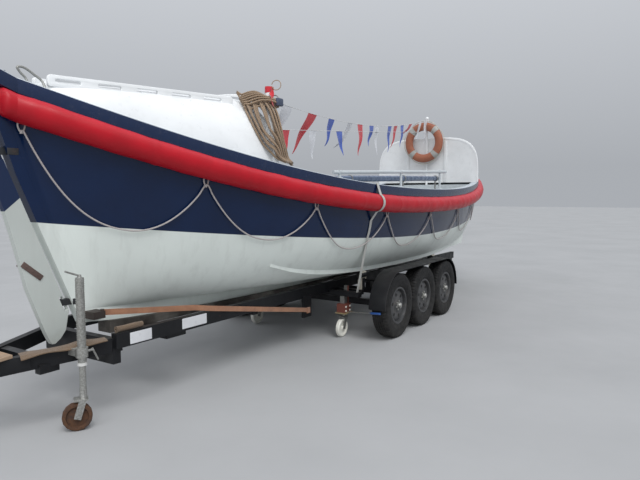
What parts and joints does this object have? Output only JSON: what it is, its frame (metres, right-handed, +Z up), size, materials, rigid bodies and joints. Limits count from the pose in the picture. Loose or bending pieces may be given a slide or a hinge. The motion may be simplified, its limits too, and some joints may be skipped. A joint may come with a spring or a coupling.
{
  "type": "pulling and sailing lifeboat on a road trailer",
  "caption": "Double-ended wooden lifeboat with a padded fender and arched end boxes, strapped stern-first on a twin-rail road trailer with a jockey wheel and castors.",
  "frame": {"origin": "on the ground, under the middle of the overall box", "axes": "+X towards the bow, +Y to port, +Z up"},
  "size_m": [11.1816, 2.7048, 3.214],
  "materials": {
    "paint_blue": "gloss oil paint on planking",
    "paint_white": "satin white paint on wood",
    "paint_grey": "pale grey paint",
    "canvas_red": "painted canvas over cork",
    "black_steel": "black painted steel",
    "zinc": "galvanised",
    "rubber": "black rubber",
    "rope_white": "white laid rope",
    "manila": "manila rope",
    "ring_orange": "painted canvas life ring",
    "webbing": "woven webbing",
    "timber": "weathered timber",
    "rusty": "rusted iron",
    "nylon": "white nylon",
    "oar_blue": "painted ash looms",
    "carpet": "woven carpet strip"
  },
  "bodies": {
    "boat_and_trailer": {"hull": "paint_blue", "topside_port": "paint_blue", "topside_starboard": "paint_blue", "keel_and_posts": "paint_white", "gunwale_port": "paint_grey", "gunwale_starboard": "paint_grey", "fender_port": "canvas_red", "fender_starboard": "canvas_red", "aft_end_box": "paint_white", "fore_end_box": "paint_white", "thwarts": "timber", "bilge_keel_port": "paint_white", "bilge_keel_starboard": "paint_white", "stern_hoop": "zinc", "aft_post": "paint_white", "fore_post": "paint_white", "side_rail_port": "paint_grey", "side_rail_starboard": "paint_grey", "life_line_port": "rope_white", "life_line_starboard": "rope_white", "rope_hank": "manila", "life_ring": "ring_orange", "oars_port": "oar_blue", "oars_starboard": "oar_blue", "trailer_frame": "black_steel", "tow_coupling": "black_steel", "keel_bearer": "timber", "axle_1": "black_steel", "axle_2": "black_steel", "axle_3": "black_steel", "mudguard_port": "black_steel", "mudguard_starboard": "black_steel", "jockey_tube": "zinc", "jockey_clamp": "zinc", "keel_strap": "webbing", "tie_down_strap": "webbing", "drawbar_carpet": "carpet", "drawbar_plank": "timber", "castor_leg_port": "zinc", "castor_leg_starboard": "zinc"},
    "rudder_body": {"rudder": "paint_white", "rudder_yoke": "rusty"},
    "jockey_swivel": {"jockey_fork": "zinc"},
    "jockey_roller": {"jockey_wheel": "rusty"},
    "wheel_port_1": {"tyre_port_1": "rubber", "rim_port_1": "paint_grey"},
    "wheel_port_2": {"tyre_port_2": "rubber", "rim_port_2": "paint_grey"},
    "wheel_port_3": {"tyre_port_3": "rubber", "rim_port_3": "paint_grey"},
    "wheel_starboard_1": {"tyre_starboard_1": "rubber", "rim_starboard_1": "paint_grey"},
    "wheel_starboard_2": {"tyre_starboard_2": "rubber", "rim_starboard_2": "paint_grey"},
    "wheel_starboard_3": {"tyre_starboard_3": "rubber", "rim_starboard_3": "paint_grey"},
    "castor_swivel_port": {"castor_fork_port": "zinc"},
    "castor_roller_port": {"castor_wheel_port": "nylon"},
    "castor_swivel_starboard": {"castor_fork_starboard": "zinc"},
    "castor_roller_starboard": {"castor_wheel_starboard": "nylon"}
  },
  "joints": [
    {"name": "rudder_turn", "type": "hinge", "parent": "boat_and_trailer", "child": "rudder_body", "pos_m": [-4.36031, 0, 0.83], "axis": [-0.3723, 0, 0.9281], "range_deg": [-38, 38]},
    {"name": "wheel_port_1_spin", "type": "hinge", "parent": "boat_and_trailer", "child": "wheel_port_1", "pos_m": [-0.79581, 1.184, 0.394], "axis": [0, 1, 0], "continuous": true},
    {"name": "wheel_port_2_spin", "type": "hinge", "parent": "boat_and_trailer", "child": "wheel_port_2", "pos_m": [0.00419, 1.184, 0.394], "axis": [0, 1, 0], "continuous": true},
    {"name": "wheel_port_3_spin", "type": "hinge", "parent": "boat_and_trailer", "child": "wheel_port_3", "pos_m": [0.80419, 1.184, 0.394], "axis": [0, 1, 0], "continuous": true},
    {"name": "wheel_starboard_1_spin", "type": "hinge", "parent": "boat_and_trailer", "child": "wheel_starboard_1", "pos_m": [-0.79581, -1.184, 0.394], "axis": [0, 1, 0], "continuous": true},
    {"name": "wheel_starboard_2_spin", "type": "hinge", "parent": "boat_and_trailer", "child": "wheel_starboard_2", "pos_m": [0.00419, -1.184, 0.394], "axis": [0, 1, 0], "continuous": true},
    {"name": "wheel_starboard_3_spin", "type": "hinge", "parent": "boat_and_trailer", "child": "wheel_starboard_3", "pos_m": [0.80419, -1.184, 0.394], "axis": [0, 1, 0], "continuous": true},
    {"name": "jockey_swivel_turn", "type": "hinge", "parent": "boat_and_trailer", "child": "jockey_swivel", "pos_m": [-4.53781, -0.45, 0.27], "axis": [0, 0, 1], "continuous": true},
    {"name": "jockey_wheel_spin", "type": "hinge", "parent": "jockey_swivel", "child": "jockey_roller", "pos_m": [-4.57507, -0.42477, 0.105], "axis": [-0.5606, -0.8281, 0], "continuous": true},
    {"name": "castor_port_turn", "type": "hinge", "parent": "boat_and_trailer", "child": "castor_swivel_port", "pos_m": [-1.09581, 0.665, 0.27], "axis": [0, 0, 1], "continuous": true},
    {"name": "castor_port_spin", "type": "hinge", "parent": "castor_swivel_port", "child": "castor_roller_port", "pos_m": [-1.14581, 0.665, 0.112], "axis": [0, 1, 0], "continuous": true},
    {"name": "castor_starboard_turn", "type": "hinge", "parent": "boat_and_trailer", "child": "castor_swivel_starboard", "pos_m": [-1.09581, -0.665, 0.27], "axis": [0, 0, 1], "continuous": true},
    {"name": "castor_starboard_spin", "type": "hinge", "parent": "castor_swivel_starboard", "child": "castor_roller_starboard", "pos_m": [-1.14581, -0.665, 0.112], "axis": [0, 1, 0], "continuous": true}
  ]
}
